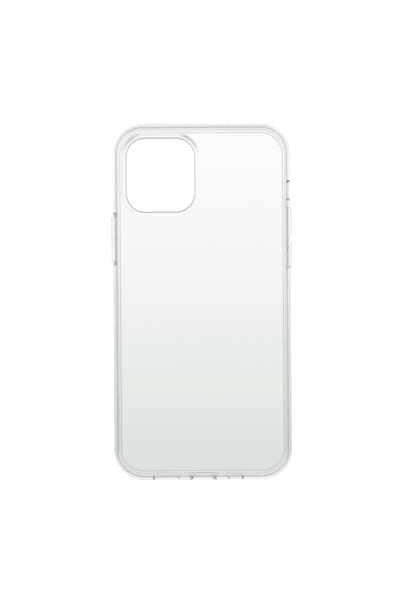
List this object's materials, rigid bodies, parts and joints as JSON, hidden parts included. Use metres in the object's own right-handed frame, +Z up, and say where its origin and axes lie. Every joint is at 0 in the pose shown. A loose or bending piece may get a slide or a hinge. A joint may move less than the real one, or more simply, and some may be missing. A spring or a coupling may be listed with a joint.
{
  "type": "phone case",
  "caption": "Clear slim phone case: hard flat back plate in a soft bumper frame, with a guarded camera window, sprung side pads and openings for port, speaker, microphone and ring switch.",
  "frame": {"origin": "on the surface that the case stands on, under the middle of its width and of its depth", "axes": "+Z up the case from its bottom edge to its top edge; -Y out of the back, the side with the camera window; +Y out of the open front, where the screen is; +X to the right as seen from behind"},
  "size_m": [0.0768, 0.011, 0.1503],
  "materials": {
    "clear_soft": "clear glossy soft urethane",
    "clear_hard": "clear glossy hard plastic",
    "clear_guard": "clear glossy soft urethane",
    "clear_button": "clear soft urethane, finely satin",
    "clear_web": "clear soft urethane, thin"
  },
  "bodies": {
    "case": {"bumper_frame": "clear_soft", "back_plate": "clear_hard", "camera_guard": "clear_guard", "side_button_web": "clear_web", "volume_button_web": "clear_web"},
    "side_button": {"side_button": "clear_button"},
    "volume_up": {"volume_up_button": "clear_button"},
    "volume_down": {"volume_down_button": "clear_button"}
  },
  "joints": [
    {"name": "side_button_press", "type": "slide", "parent": "case", "child": "side_button", "axis": [1, 0, 0], "range_m": [0, 0.0004], "stiffness_N_per_m": 1500, "deforming": ["side_button_web"]},
    {"name": "volume_up_press", "type": "slide", "parent": "case", "child": "volume_up", "axis": [-1, 0, 0], "range_m": [0, 0.0004], "stiffness_N_per_m": 1500, "deforming": ["volume_button_web"]},
    {"name": "volume_down_press", "type": "slide", "parent": "case", "child": "volume_down", "axis": [-1, 0, 0], "range_m": [0, 0.0004], "stiffness_N_per_m": 1500, "deforming": ["volume_button_web"]}
  ]
}
